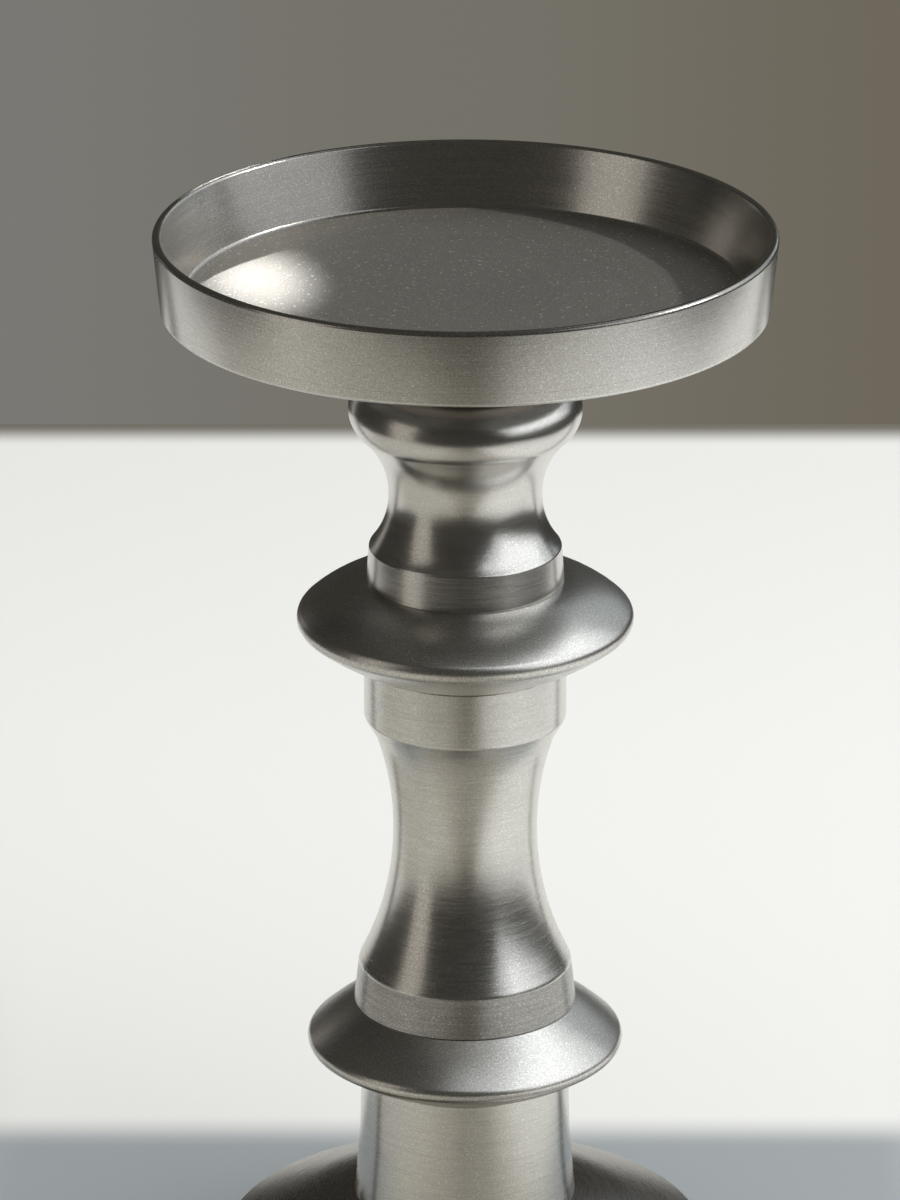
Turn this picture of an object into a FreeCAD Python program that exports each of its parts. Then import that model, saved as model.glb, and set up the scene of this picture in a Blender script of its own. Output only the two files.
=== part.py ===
import FreeCAD
import Part
import math
import os

# A pillar candlestick of satin steel. Turned pieces stand on a weighted foot, each one seated
# on a round register of the piece below, and one long rod draws them together. The dish that
# holds the candle is brazed to a flanged neck, so no screw shows in its floor.
# Sizes are millimetres. Heights run up from the table and radii out from the upright axis.

# Dish
DISH_HEIGHT = 13.2
DISH_RIM_RADIUS = 52.5
DISH_FLARE = 1.3
DISH_WALL_FOOT = 3.9
DISH_FLOOR_THICKNESS = 2.3
DISH_LIP_THICKNESS = 1.4
DISH_LIP_ROUND = 0.6
DISH_FOOT_ROUND = 0.8
DISH_CORNER_ROUND = 0.8

# Neck under the dish
NECK_RADIUS = 12.6
NECK_STRAIGHT = 2.0
NECK_COVE_RADIUS = 7.5
NECK_FLANGE_LEDGE = 2.4
NECK_FLANGE_THICKNESS = 2.2
NECK_PILOT_RADIUS = 8.0
NECK_PILOT_HEIGHT = 1.0
NECK_ROOF = 1.7

# Capital: a bead and a cove that flow into each other above a tapered band
CAPITAL_BAND_RADIUS = 16.9
CAPITAL_BAND_TAPER = 0.5
CAPITAL_BAND_HEIGHT = 6.3
CAPITAL_WAIST_RADIUS = 13.0
CAPITAL_COVE_RADIUS = 14.5
CAPITAL_BEAD_RADIUS = 6.1
CAPITAL_BEAD_REACH = 19.8

# Upper collar
UPPER_COLLAR_HEIGHT = 14.6
UPPER_COLLAR_RIM_RADIUS = 28.75
UPPER_COLLAR_RIM_LEVEL = 7.9
UPPER_COLLAR_RIM_ROUND = 2.1
UPPER_COLLAR_TOP_CROWN = 20.0
UPPER_COLLAR_UNDER_CROWN = 45.0

# Spool: a long cove between two bands
SPOOL_HEIGHT = 62.9
SPOOL_FOOT_RADIUS = 19.1
SPOOL_FOOT_BAND = 6.7
SPOOL_BAND_TAPER = 0.5
SPOOL_FLARE_ROUND = 2.4
SPOOL_COVE_RADIUS = 53.3
SPOOL_SHOULDER_DEPTH = 2.0
SPOOL_SHOULDER_HEIGHT = 3.5
SPOOL_SHOULDER_ROUND = 1.3
SPOOL_HEAD_RADIUS = 17.3
SPOOL_HEAD_BAND = 9.9

# Lower collar
LOWER_COLLAR_HEIGHT = 13.1
LOWER_COLLAR_RIM_RADIUS = 27.35
LOWER_COLLAR_RIM_LEVEL = 6.0
LOWER_COLLAR_RIM_ROUND = 1.6
LOWER_COLLAR_TOP_CROWN = 60.0
LOWER_COLLAR_UNDER_CROWN = 45.0

# Lower column, which flares a little towards its foot
COLUMN_HEIGHT = 23.7
COLUMN_HEAD_RADIUS = 18.0
COLUMN_FLARE = 1.3

# Foot of the candlestick, a hollow turned shell, as high as what it holds
BASE_RIM_RADIUS = 42.4
BASE_RIM_LEVEL = 6.5
BASE_RIM_ROUND = 1.2
BASE_TOP_CROWN = 400.0
BASE_UNDER_CROWN = 60.0
BASE_UNDERCUT = 3.4
BASE_FOOT_LAND = 2.1
BASE_WALL = 2.8

# Cast weight inside the foot
WEIGHT_CLEARANCE = 0.5
WEIGHT_WEB = 3.0
WEIGHT_SOCKET_RADIUS = 8.5
NUT_ROOM = 0.8

# Cover and pad under the foot
COVER_THICKNESS = 1.0
COVER_LAND = 1.0
COVER_CLEARANCE = 0.3
PAD_THICKNESS = 1.5
PAD_MARGIN = 0.6

# Registers that centre each stacked piece on the one below
REGISTER_RADIUS = 9.0
REGISTER_HEIGHT = 2.5
REGISTER_LEAD = 0.4
REGISTER_CLEARANCE = 0.1
REGISTER_HEADROOM = 0.3

# Tie rod and its fasteners, M6
ROD_RADIUS = 3.0
ROD_CHAMFER = 0.6
ROD_BORE_CLEARANCE = 0.3
ROD_END_CLEARANCE = 0.5
ROD_TAIL = 0.6
THREAD_CLEARANCE = 0.05
WASHER_RADIUS = 6.0
WASHER_THICKNESS = 1.6
WASHER_CLEARANCE = 0.2
SPRING_WASHER_RADIUS = 5.9
SPRING_WASHER_THICKNESS = 1.5
SPRING_WASHER_SPLIT = 1.2
NUT_HEIGHT = 5.0
NUT_WIDTH = 10.0

# General
EDGE_BREAK = 0.25
SAME_PLACE = 0.002

# Shares and angles
DRILL_POINT_SHARE = 0.6
SPLIT_SLANT_DEGREES = 20
NUT_CHAMFER_DEGREES = 30
FULL_TURN_DEGREES = 360
HEXAGON_SIDES = 6

# Sizes that follow from mating pieces
RECESS_RADIUS = REGISTER_RADIUS + REGISTER_CLEARANCE
RECESS_DEPTH = REGISTER_HEIGHT + REGISTER_HEADROOM
ROD_BORE_RADIUS = ROD_RADIUS + ROD_BORE_CLEARANCE
THREAD_RADIUS = ROD_RADIUS + THREAD_CLEARANCE
WASHER_BORE_RADIUS = ROD_RADIUS + WASHER_CLEARANCE
DISH_FOOT_RADIUS = DISH_RIM_RADIUS - DISH_FLARE
DISH_FLOOR_RADIUS = DISH_FOOT_RADIUS - DISH_WALL_FOOT
NECK_FLANGE_RADIUS = NECK_RADIUS + NECK_COVE_RADIUS + NECK_FLANGE_LEDGE
NECK_HEIGHT = NECK_STRAIGHT + NECK_COVE_RADIUS + NECK_FLANGE_THICKNESS
NECK_THREAD_DEPTH = NECK_HEIGHT - NECK_ROOF
COLUMN_FOOT_RADIUS = COLUMN_HEAD_RADIUS + COLUMN_FLARE
BASE_FOOT_RADIUS = BASE_RIM_RADIUS - BASE_UNDERCUT
BASE_REBATE_RADIUS = BASE_FOOT_RADIUS - BASE_FOOT_LAND
BASE_CAVITY_RADIUS = BASE_REBATE_RADIUS - COVER_LAND
ROD_END_LEVEL = COVER_THICKNESS + NUT_ROOM
NUT_LEVEL = ROD_END_LEVEL + ROD_TAIL
SPRING_WASHER_LEVEL = NUT_LEVEL + NUT_HEIGHT
WASHER_LEVEL = SPRING_WASHER_LEVEL + SPRING_WASHER_THICKNESS
WEIGHT_SEAT_LEVEL = WASHER_LEVEL + WASHER_THICKNESS
BASE_ROOF_LEVEL = WEIGHT_SEAT_LEVEL + WEIGHT_WEB
BASE_HEIGHT = BASE_ROOF_LEVEL + BASE_WALL

AXIS = FreeCAD.Vector(0, 0, 1)
CENTRE = FreeCAD.Vector(0, 0, 0)


# Geometry of half profiles, whose points are pairs of radius and height
def place(point):
    """A point of a half profile, in space."""
    return FreeCAD.Vector(point[0], 0, point[1])


def towards(centre, reach, target):
    """The point at this reach from a centre, in the direction of another point."""
    run, rise = target[0] - centre[0], target[1] - centre[1]
    gap = math.hypot(run, rise)
    return centre[0] + reach * run / gap, centre[1] + reach * rise / gap


def leg(long_side, other_side):
    """The third side of a right triangle, from its longest side and one other."""
    return math.sqrt(long_side**2 - other_side**2)


def meeting(first, first_reach, second, second_reach, side):
    """Where two circles cross, to the left (1) or right (-1) of the line between them."""
    run, rise = second[0] - first[0], second[1] - first[1]
    gap = math.hypot(run, rise)
    along = (gap**2 + first_reach**2 - second_reach**2) / (2 * gap)
    across = side * leg(first_reach, along)
    radius = first[0] + (along * run - across * rise) / gap
    height = first[1] + (along * rise + across * run) / gap
    return radius, height


class Profile:
    """The half section of a turned piece, drawn from point to point around its edge."""

    def __init__(self, *start):
        self.start = start
        self.here = start
        self.edges = []

    def line(self, *end):
        """Draw a straight edge to a point."""
        self.edges.append(Part.makeLine(place(self.here), place(end)))
        self.here = end

    def arc(self, centre, *end):
        """Draw an arc about a centre to a point, through less than half a turn."""
        middle = (self.here[0] + end[0]) / 2, (self.here[1] + end[1]) / 2
        through = towards(centre, math.dist(centre, end), middle)
        edge = Part.Arc(place(self.here), place(through), place(end))
        self.edges.append(edge.toShape())
        self.here = end

    def turned(self):
        """Close the section and revolve it."""
        self.line(*self.start)
        section = Part.Face(Part.Wire(self.edges))
        return section.revolve(CENTRE, AXIS, FULL_TURN_DEGREES)


def rounded(solid, size, *circles):
    """Round the edges that run round the axis at the given pairs of radius and height."""
    chosen = []
    for edge in solid.Edges:
        if not isinstance(edge.Curve, Part.Circle):
            continue
        circle = edge.Curve.Radius, edge.Curve.Center.z
        if any(math.dist(circle, wanted) < SAME_PLACE for wanted in circles):
            chosen.append(edge)
    return solid.makeFillet(size, chosen)


def ring(bore, radius, thickness):
    """A flat ring with its underside at zero."""
    profile = Profile(bore, 0)
    profile.line(radius, 0)
    profile.line(radius, thickness)
    profile.line(bore, thickness)
    return profile.turned()


# Parts of a profile that stacked pieces share
def seated(bore, foot_radius):
    """Begin a stacked piece with its bore, the recess in its foot and its bearing face."""
    profile = Profile(bore, RECESS_DEPTH)
    profile.line(RECESS_RADIUS, RECESS_DEPTH)
    profile.line(RECESS_RADIUS, 0)
    profile.line(foot_radius, 0)
    return profile


def registered(profile, height):
    """Finish a stacked piece with its top face and the register for the piece above."""
    top = height + REGISTER_HEIGHT
    profile.line(REGISTER_RADIUS, height)
    profile.line(REGISTER_RADIUS, top - REGISTER_LEAD)
    profile.line(REGISTER_RADIUS - REGISTER_LEAD, top)
    profile.line(ROD_BORE_RADIUS, top)
    return profile.turned()


def saucer_rim(profile, rim, rim_round, under_crown, top_crown, top):
    """Draw a crowned underside, a round rim and a crowned top, each tangent to the next."""
    core = rim[0] - rim_round, rim[1]
    under = meeting(profile.here, under_crown, core, under_crown - rim_round, 1)
    over = meeting(top, top_crown, core, top_crown - rim_round, -1)
    profile.arc(under, *towards(under, under_crown, core))
    profile.arc(core, *towards(over, top_crown, core))
    profile.arc(over, *top)


# Turned pieces, each with its foot at height zero
def candle_dish():
    """A flat pan with a leaning wall. A pilot recess under its floor takes the neck."""
    recess_radius = NECK_PILOT_RADIUS + REGISTER_CLEARANCE
    recess_depth = NECK_PILOT_HEIGHT + REGISTER_CLEARANCE
    lip_radius = DISH_RIM_RADIUS - DISH_LIP_THICKNESS
    profile = Profile(0, recess_depth)
    profile.line(recess_radius, recess_depth)
    profile.line(recess_radius, 0)
    profile.line(DISH_FOOT_RADIUS, 0)
    profile.line(DISH_RIM_RADIUS, DISH_HEIGHT)
    profile.line(lip_radius, DISH_HEIGHT)
    profile.line(DISH_FLOOR_RADIUS, DISH_FLOOR_THICKNESS)
    profile.line(0, DISH_FLOOR_THICKNESS)
    dish = rounded(profile.turned(), DISH_FOOT_ROUND, (DISH_FOOT_RADIUS, 0))
    dish = rounded(dish, DISH_CORNER_ROUND, (DISH_FLOOR_RADIUS, DISH_FLOOR_THICKNESS))
    lip = (DISH_RIM_RADIUS, DISH_HEIGHT), (lip_radius, DISH_HEIGHT)
    return rounded(dish, DISH_LIP_ROUND, *lip)


def dish_neck():
    """A flanged boss with a cove under its flange, tapped blind from below for the rod."""
    flange_level = NECK_HEIGHT - NECK_FLANGE_THICKNESS
    cove = NECK_RADIUS + NECK_COVE_RADIUS, flange_level - NECK_COVE_RADIUS
    pilot_top = NECK_HEIGHT + NECK_PILOT_HEIGHT
    profile = seated(THREAD_RADIUS, NECK_RADIUS)
    profile.line(NECK_RADIUS, cove[1])
    profile.arc(cove, cove[0], flange_level)
    profile.line(NECK_FLANGE_RADIUS, flange_level)
    profile.line(NECK_FLANGE_RADIUS, NECK_HEIGHT)
    profile.line(NECK_PILOT_RADIUS, NECK_HEIGHT)
    profile.line(NECK_PILOT_RADIUS, pilot_top)
    profile.line(0, pilot_top)
    profile.line(0, NECK_THREAD_DEPTH + THREAD_RADIUS * DRILL_POINT_SHARE)
    profile.line(THREAD_RADIUS, NECK_THREAD_DEPTH)
    return rounded(profile.turned(), EDGE_BREAK, (NECK_FLANGE_RADIUS, flange_level))


def capital_centres():
    """The centres of the capital's cove and bead arcs, which touch each other."""
    corner_radius = CAPITAL_BAND_RADIUS - CAPITAL_BAND_TAPER
    cove_axis = CAPITAL_WAIST_RADIUS + CAPITAL_COVE_RADIUS
    bead_axis = CAPITAL_BEAD_REACH - CAPITAL_BEAD_RADIUS
    bead_gap = CAPITAL_COVE_RADIUS + CAPITAL_BEAD_RADIUS
    cove_level = CAPITAL_BAND_HEIGHT + leg(CAPITAL_COVE_RADIUS, cove_axis - corner_radius)
    bead_level = cove_level + leg(bead_gap, cove_axis - bead_axis)
    return (cove_axis, cove_level), (bead_axis, bead_level)


def capital_height():
    """The capital ends where its bead turns level."""
    cove, bead = capital_centres()
    return bead[1] + CAPITAL_BEAD_RADIUS


def capital():
    """A tapered band with a crisp corner, then a cove and a bead in one flowing line."""
    cove, bead = capital_centres()
    profile = seated(ROD_BORE_RADIUS, CAPITAL_BAND_RADIUS)
    profile.line(CAPITAL_BAND_RADIUS - CAPITAL_BAND_TAPER, CAPITAL_BAND_HEIGHT)
    profile.arc(cove, *towards(bead, CAPITAL_BEAD_RADIUS, cove))
    profile.arc(bead, bead[0], capital_height())
    solid = registered(profile, capital_height())
    return rounded(solid, EDGE_BREAK, (CAPITAL_BAND_RADIUS, 0))


def upper_collar():
    """A saucer ring between the spool's head and the capital's band, flush with both."""
    profile = seated(ROD_BORE_RADIUS, SPOOL_HEAD_RADIUS)
    rim = UPPER_COLLAR_RIM_RADIUS, UPPER_COLLAR_RIM_LEVEL
    crowns = UPPER_COLLAR_UNDER_CROWN, UPPER_COLLAR_TOP_CROWN
    top = CAPITAL_BAND_RADIUS, UPPER_COLLAR_HEIGHT
    saucer_rim(profile, rim, UPPER_COLLAR_RIM_ROUND, *crowns, top)
    return registered(profile, UPPER_COLLAR_HEIGHT)


def spool():
    """A long cove. It flares to a tapered foot band and is stopped by a bevelled head."""
    flare_radius = SPOOL_FOOT_RADIUS - SPOOL_BAND_TAPER
    flare = flare_radius - SPOOL_FLARE_ROUND, SPOOL_FOOT_BAND
    head_level = SPOOL_HEIGHT - SPOOL_HEAD_BAND
    shoulder = SPOOL_HEAD_RADIUS - SPOOL_SHOULDER_DEPTH, head_level - SPOOL_SHOULDER_HEIGHT
    flare_gap = SPOOL_COVE_RADIUS + SPOOL_FLARE_ROUND
    cove = meeting(flare, flare_gap, shoulder, SPOOL_COVE_RADIUS, -1)
    profile = seated(ROD_BORE_RADIUS, SPOOL_FOOT_RADIUS)
    profile.line(flare_radius, SPOOL_FOOT_BAND)
    profile.arc(flare, *towards(flare, SPOOL_FLARE_ROUND, cove))
    profile.arc(cove, *shoulder)
    profile.line(SPOOL_HEAD_RADIUS, head_level)
    profile.line(SPOOL_HEAD_RADIUS, SPOOL_HEIGHT)
    solid = registered(profile, SPOOL_HEIGHT)
    solid = rounded(solid, SPOOL_SHOULDER_ROUND, (SPOOL_HEAD_RADIUS, head_level))
    ends = (SPOOL_FOOT_RADIUS, 0), (SPOOL_HEAD_RADIUS, SPOOL_HEIGHT)
    return rounded(solid, EDGE_BREAK, *ends)


def lower_collar():
    """A saucer ring between the column's head and the spool's foot, flush with both."""
    profile = seated(ROD_BORE_RADIUS, COLUMN_HEAD_RADIUS)
    rim = LOWER_COLLAR_RIM_RADIUS, LOWER_COLLAR_RIM_LEVEL
    crowns = LOWER_COLLAR_UNDER_CROWN, LOWER_COLLAR_TOP_CROWN
    top = SPOOL_FOOT_RADIUS, LOWER_COLLAR_HEIGHT
    saucer_rim(profile, rim, LOWER_COLLAR_RIM_ROUND, *crowns, top)
    return registered(profile, LOWER_COLLAR_HEIGHT)


def lower_column():
    """A short column whose side sweeps out to its foot in one shallow arc."""
    sweep = (COLUMN_HEIGHT**2 + COLUMN_FLARE**2) / (2 * COLUMN_FLARE)
    profile = seated(ROD_BORE_RADIUS, COLUMN_FOOT_RADIUS)
    profile.arc((COLUMN_HEAD_RADIUS + sweep, COLUMN_HEIGHT), COLUMN_HEAD_RADIUS, COLUMN_HEIGHT)
    solid = registered(profile, COLUMN_HEIGHT)
    ends = (COLUMN_FOOT_RADIUS, 0), (COLUMN_HEAD_RADIUS, COLUMN_HEIGHT)
    return rounded(solid, EDGE_BREAK, *ends)


def roof_level(radius):
    """The height of the foot's sloping roof inside, which falls as its outside does."""
    fall = (BASE_HEIGHT - BASE_RIM_LEVEL) / (BASE_RIM_RADIUS - COLUMN_FOOT_RADIUS)
    return BASE_ROOF_LEVEL - fall * (radius - COLUMN_FOOT_RADIUS)


def base():
    """A saucer foot, hollow below, with a rebate for the cover that closes it."""
    profile = Profile(ROD_BORE_RADIUS, BASE_ROOF_LEVEL)
    profile.line(COLUMN_FOOT_RADIUS, BASE_ROOF_LEVEL)
    profile.line(BASE_CAVITY_RADIUS, roof_level(BASE_CAVITY_RADIUS))
    profile.line(BASE_CAVITY_RADIUS, COVER_THICKNESS)
    profile.line(BASE_REBATE_RADIUS, COVER_THICKNESS)
    profile.line(BASE_REBATE_RADIUS, 0)
    profile.line(BASE_FOOT_RADIUS, 0)
    rim = BASE_RIM_RADIUS, BASE_RIM_LEVEL
    top = COLUMN_FOOT_RADIUS, BASE_HEIGHT
    saucer_rim(profile, rim, BASE_RIM_ROUND, BASE_UNDER_CROWN, BASE_TOP_CROWN, top)
    return registered(profile, BASE_HEIGHT)


def base_weight():
    """A cast disc that follows the foot's roof, with a socket below for the nut."""
    outer_radius = BASE_CAVITY_RADIUS - WEIGHT_CLEARANCE
    underside = COVER_THICKNESS + WEIGHT_CLEARANCE
    profile = Profile(ROD_BORE_RADIUS, WEIGHT_SEAT_LEVEL)
    profile.line(WEIGHT_SOCKET_RADIUS, WEIGHT_SEAT_LEVEL)
    profile.line(WEIGHT_SOCKET_RADIUS, underside)
    profile.line(outer_radius, underside)
    profile.line(outer_radius, roof_level(outer_radius) - WEIGHT_CLEARANCE)
    profile.line(COLUMN_FOOT_RADIUS - WEIGHT_CLEARANCE, BASE_ROOF_LEVEL)
    profile.line(ROD_BORE_RADIUS, BASE_ROOF_LEVEL)
    return profile.turned()


def base_cover():
    """A thin disc that closes the foot."""
    return ring(0, BASE_REBATE_RADIUS - COVER_CLEARANCE, COVER_THICKNESS)


def felt_pad():
    """A soft disc glued under the foot and its cover."""
    return ring(0, BASE_FOOT_RADIUS - PAD_MARGIN, PAD_THICKNESS)


# Rod and fasteners
def tie_rod(length):
    """A plain rod with chamfered ends."""
    profile = Profile(0, 0)
    profile.line(ROD_RADIUS - ROD_CHAMFER, 0)
    profile.line(ROD_RADIUS, ROD_CHAMFER)
    profile.line(ROD_RADIUS, length - ROD_CHAMFER)
    profile.line(ROD_RADIUS - ROD_CHAMFER, length)
    profile.line(0, length)
    return profile.turned()


def plain_washer():
    """A flat washer."""
    return ring(WASHER_BORE_RADIUS, WASHER_RADIUS, WASHER_THICKNESS)


def spring_washer():
    """A ring of square wire, pressed flat, with its slanted split."""
    washer = ring(WASHER_BORE_RADIUS, SPRING_WASHER_RADIUS, SPRING_WASHER_THICKNESS)
    half_split = SPRING_WASHER_SPLIT / 2
    corner = FreeCAD.Vector(0, -half_split, -SPRING_WASHER_THICKNESS)
    cutter_height = 3 * SPRING_WASHER_THICKNESS
    cutter = Part.makeBox(2 * SPRING_WASHER_RADIUS, SPRING_WASHER_SPLIT, cutter_height, corner)
    pivot = FreeCAD.Vector(0, 0, SPRING_WASHER_THICKNESS / 2)
    cutter.rotate(pivot, FreeCAD.Vector(1, 0, 0), SPLIT_SLANT_DEGREES)
    return washer.cut(cutter)


def hex_nut():
    """A hexagon nut, its corners turned off at both faces."""
    flat_radius = NUT_WIDTH / 2
    corner_radius = flat_radius / math.cos(math.pi / HEXAGON_SIDES)
    turned_off = (corner_radius - flat_radius) * math.tan(math.radians(NUT_CHAMFER_DEGREES))
    profile = Profile(THREAD_RADIUS, 0)
    profile.line(flat_radius, 0)
    profile.line(corner_radius, turned_off)
    profile.line(corner_radius, NUT_HEIGHT - turned_off)
    profile.line(flat_radius, NUT_HEIGHT)
    profile.line(THREAD_RADIUS, NUT_HEIGHT)
    corners = []
    for index in range(HEXAGON_SIDES + 1):
        turn = 2 * math.pi * index / HEXAGON_SIDES
        across, along = math.cos(turn), math.sin(turn)
        corners.append(FreeCAD.Vector(corner_radius * across, corner_radius * along, 0))
    hexagon = Part.Face(Part.makePolygon(corners))
    return profile.turned().common(hexagon.extrude(AXIS * NUT_HEIGHT))


def stacked():
    """Every piece with the level of its foot above the table."""
    column_level = PAD_THICKNESS + BASE_HEIGHT
    lower_collar_level = column_level + COLUMN_HEIGHT
    spool_level = lower_collar_level + LOWER_COLLAR_HEIGHT
    upper_collar_level = spool_level + SPOOL_HEIGHT
    capital_level = upper_collar_level + UPPER_COLLAR_HEIGHT
    neck_level = capital_level + capital_height()
    rod_level = PAD_THICKNESS + ROD_END_LEVEL
    rod_top = neck_level + NECK_THREAD_DEPTH - ROD_END_CLEARANCE
    return {
        "felt_pad": (felt_pad(), 0),
        "base_cover": (base_cover(), PAD_THICKNESS),
        "base": (base(), PAD_THICKNESS),
        "base_weight": (base_weight(), PAD_THICKNESS),
        "lower_column": (lower_column(), column_level),
        "lower_collar": (lower_collar(), lower_collar_level),
        "spool": (spool(), spool_level),
        "upper_collar": (upper_collar(), upper_collar_level),
        "capital": (capital(), capital_level),
        "dish_neck": (dish_neck(), neck_level),
        "candle_dish": (candle_dish(), neck_level + NECK_HEIGHT),
        "tie_rod": (tie_rod(rod_top - rod_level), rod_level),
        "plain_washer": (plain_washer(), PAD_THICKNESS + WASHER_LEVEL),
        "spring_washer": (spring_washer(), PAD_THICKNESS + SPRING_WASHER_LEVEL),
        "hex_nut": (hex_nut(), PAD_THICKNESS + NUT_LEVEL),
    }


os.makedirs("parts", exist_ok=True)
for node, (solid, level) in stacked().items():
    solid.translate(AXIS * level)
    solid.exportStep(f"parts/{node}.step")
    print(f"{node}: foot at {level:.2f} mm, volume {solid.Volume:.0f} mm3")
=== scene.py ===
# %% [markdown]
# A turned candlestick is a stack of round pieces drawn together by one hidden rod. The packed CAD
# model is the fixed frame: it gives the level and the reach of every piece in metres.

# %% Load the frame
import math

import bpy
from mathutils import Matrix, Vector


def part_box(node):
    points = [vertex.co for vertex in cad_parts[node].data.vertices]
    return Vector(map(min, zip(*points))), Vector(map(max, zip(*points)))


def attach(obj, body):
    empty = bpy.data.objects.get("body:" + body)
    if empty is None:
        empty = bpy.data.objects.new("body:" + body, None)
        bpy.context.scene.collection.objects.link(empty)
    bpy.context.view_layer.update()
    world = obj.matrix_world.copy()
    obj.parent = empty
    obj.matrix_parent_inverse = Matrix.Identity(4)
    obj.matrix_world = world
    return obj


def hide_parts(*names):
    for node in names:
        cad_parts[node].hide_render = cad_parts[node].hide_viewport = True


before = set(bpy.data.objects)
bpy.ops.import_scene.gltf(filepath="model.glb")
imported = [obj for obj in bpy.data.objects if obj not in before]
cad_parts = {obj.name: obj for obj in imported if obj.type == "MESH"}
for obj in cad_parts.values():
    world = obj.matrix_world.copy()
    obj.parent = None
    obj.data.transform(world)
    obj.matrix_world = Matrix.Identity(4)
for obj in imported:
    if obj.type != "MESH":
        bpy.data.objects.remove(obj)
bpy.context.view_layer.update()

# %% [markdown]
# The real pieces were cut on a lathe, so each one is a half section turned about the upright
# axis. Blender can do the same by hand: one point is extruded along the section, arcs are spun
# about their centres, and the finished line is spun a full turn. A stack of primitives would be
# quicker, but only a section gives coves, beads and corners that flow into each other. Sizes
# are written in millimetres, as on a workshop drawing, and the pen turns them into metres.

# %% A pen that draws and turns a half section
MM = 0.001
SIDES = 180
ARC_STEP = math.radians(4)
MERGE_GAP = MM / 500
UP = (0, 0, 1)
ACROSS = (0, 1, 0)


class Section:
    """A half section. Its points are pairs of radius and height in millimetres."""

    def __init__(self, name, radius, height):
        bpy.ops.object.select_all(action="DESELECT")
        place = (radius * MM, 0, height * MM)
        bpy.ops.mesh.primitive_plane_add(size=MM, location=place)
        self.piece = bpy.context.object
        self.piece.name = name
        bpy.ops.object.transform_apply(location=True, rotation=True, scale=True)
        bpy.ops.object.mode_set(mode="EDIT")
        bpy.ops.mesh.merge(type="CENTER")
        self.here = (radius, height)

    def line(self, radius, height):
        """Extrude the last point to a new one."""
        step = ((radius - self.here[0]) * MM, 0, (height - self.here[1]) * MM)
        bpy.ops.mesh.extrude_vertices_move(TRANSFORM_OT_translate={"value": step})
        self.here = (radius, height)

    def arc(self, centre, radius, height):
        """Spin the last point about a centre, the short way round, to a new one."""
        before = math.atan2(self.here[1] - centre[1], self.here[0] - centre[0])
        after = math.atan2(height - centre[1], radius - centre[0])
        sweep = math.remainder(after - before, 2 * math.pi)
        steps = max(2, math.ceil(abs(sweep) / ARC_STEP))
        middle = (centre[0] * MM, 0, centre[1] * MM)
        bpy.ops.mesh.spin(steps=steps, angle=sweep, center=middle, axis=ACROSS)
        self.here = (radius, height)

    def turned(self):
        """Spin the whole section about the upright axis and close the seam and the poles."""
        bpy.ops.mesh.select_all(action="SELECT")
        bpy.ops.mesh.spin(steps=SIDES, angle=2 * math.pi, center=(0, 0, 0), axis=UP)
        bpy.ops.mesh.select_all(action="SELECT")
        bpy.ops.mesh.remove_doubles(threshold=MERGE_GAP)
        bpy.ops.mesh.normals_make_consistent(inside=False)
        bpy.ops.object.mode_set(mode="OBJECT")
        return self.piece


print("a full turn takes", SIDES, "steps")

# %% [markdown]
# A lathe tool leaves tangent arcs: a cove runs into a bead with no corner between them. Three
# small pieces of plane geometry find the centres and the touching points of such arcs.

# %% Plane geometry for tangent arcs
def towards(centre, distance, target):
    """The point at this distance from a centre, in the direction of another point."""
    run, rise = target[0] - centre[0], target[1] - centre[1]
    gap = math.hypot(run, rise)
    return centre[0] + distance * run / gap, centre[1] + distance * rise / gap


def leg(long_side, other_side):
    """The third side of a right triangle, from its longest side and one other."""
    return math.sqrt(long_side**2 - other_side**2)


def meeting(first, first_reach, second, second_reach, side):
    """Where two circles cross, to the left (1) or right (-1) of the line between them."""
    run, rise = second[0] - first[0], second[1] - first[1]
    gap = math.hypot(run, rise)
    along = (gap**2 + first_reach**2 - second_reach**2) / (2 * gap)
    across = side * leg(first_reach, along)
    radius = first[0] + (along * run - across * rise) / gap
    height = first[1] + (along * rise + across * run) / gap
    return radius, height


print("check: the third side of a 3, 4, 5 triangle is", leg(5, 3))

# %% [markdown]
# The new pieces stand on the CAD model's levels and reach as far as its pieces do. Both are read
# from the frame, in millimetres, so that they follow when the CAD model changes.

# %% Levels and reaches
def foot_level(node):
    """The height in millimetres at which a piece stands on the one below."""
    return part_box(node)[0].z / MM


def reach(node):
    """The largest radius of a piece in millimetres."""
    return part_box(node)[1].x / MM


# %% [markdown]
# No real metal edge is perfectly sharp, and a thin bright line on each edge is what the eye
# reads as metal. A Bevel modifier rounds every edge that turns by more than its angle limit,
# and its hardened normals keep the flat faces beside the edge flat in their shading.

# %% Finish a turned piece
EDGE_BREAK = 0.22
EDGE_SEGMENTS = 3
SHARP = math.radians(24)


def finished(piece, node, edge_break=EDGE_BREAK):
    """Round the sharp edges of a piece and let it stand for its CAD node."""
    bpy.ops.object.select_all(action="DESELECT")
    piece.select_set(True)
    bpy.context.view_layer.objects.active = piece
    bpy.ops.object.shade_smooth()
    bevel = piece.modifiers.new("edge break", "BEVEL")
    bevel.width = edge_break * MM
    bevel.segments = EDGE_SEGMENTS
    bevel.limit_method = "ANGLE"
    bevel.angle_limit = SHARP
    bevel.harden_normals = True
    bpy.ops.object.modifier_apply(modifier=bevel.name)
    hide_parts(node)
    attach(piece, "root")
    print(node, "faces", len(piece.data.polygons))
    return piece


print("edges are broken by", EDGE_BREAK, "mm")

# %% [markdown]
# A corner of a section is rounded by an arc that touches both of its sides. How far from the
# corner the arc begins follows from its radius and from half the angle between the sides.

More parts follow.
